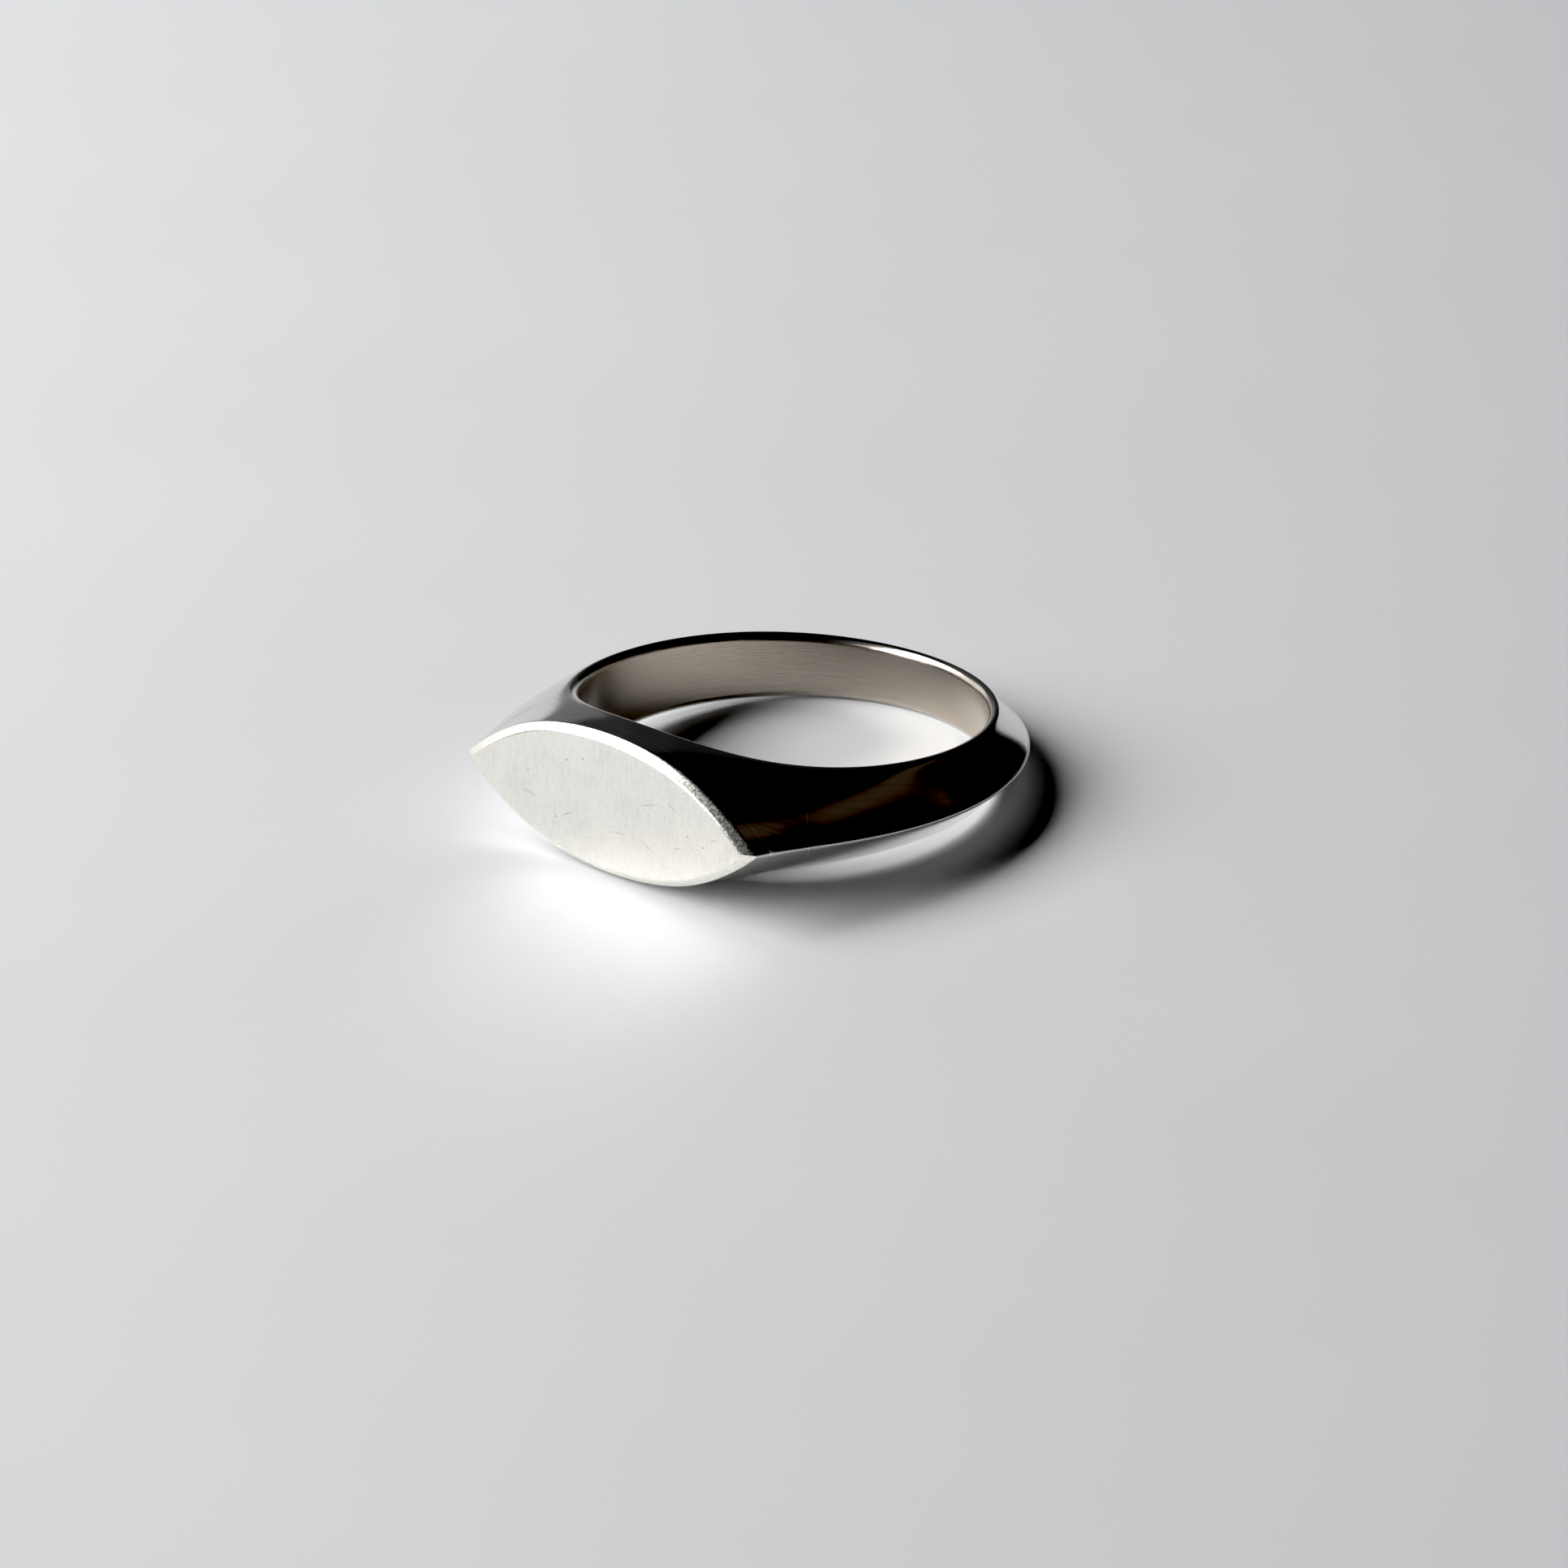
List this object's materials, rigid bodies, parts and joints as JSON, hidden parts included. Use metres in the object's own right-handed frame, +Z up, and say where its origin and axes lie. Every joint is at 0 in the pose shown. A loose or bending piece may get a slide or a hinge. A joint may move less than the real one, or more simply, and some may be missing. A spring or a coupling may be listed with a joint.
{
  "type": "signet ring",
  "caption": "Silver finger ring with a flat pointed-oval seal table, bevelled shoulders and a knife-edge ridge round a tapering shank.",
  "frame": {"origin": "centre of the bounding box's footprint, on the surface the ring lies on", "axes": "+Z up with the ring lying on its side, +X along the length of the table, -Y out of the table; the bore's axis leans 5.6 degrees from +Z towards +Y because the head is wider than the back of the shank"},
  "size_m": [0.0224, 0.0216, 0.0064],
  "materials": {
    "satin_silver": "fine satin with faint hairline scratches, sterling silver",
    "polished_silver": "hand-polished sterling silver, slightly worn along the ridge",
    "silver_solder": "hard silver solder, polished flush"
  },
  "bodies": {
    "root": {"seal_table": "satin_silver", "head_block": "polished_silver", "shoulder_left": "polished_silver", "shoulder_right": "polished_silver", "shank": "polished_silver", "table_solder": "silver_solder", "head_solder_left": "silver_solder", "head_solder_right": "silver_solder", "shank_solder_left": "silver_solder", "shank_solder_right": "silver_solder"}
  },
  "joints": []
}
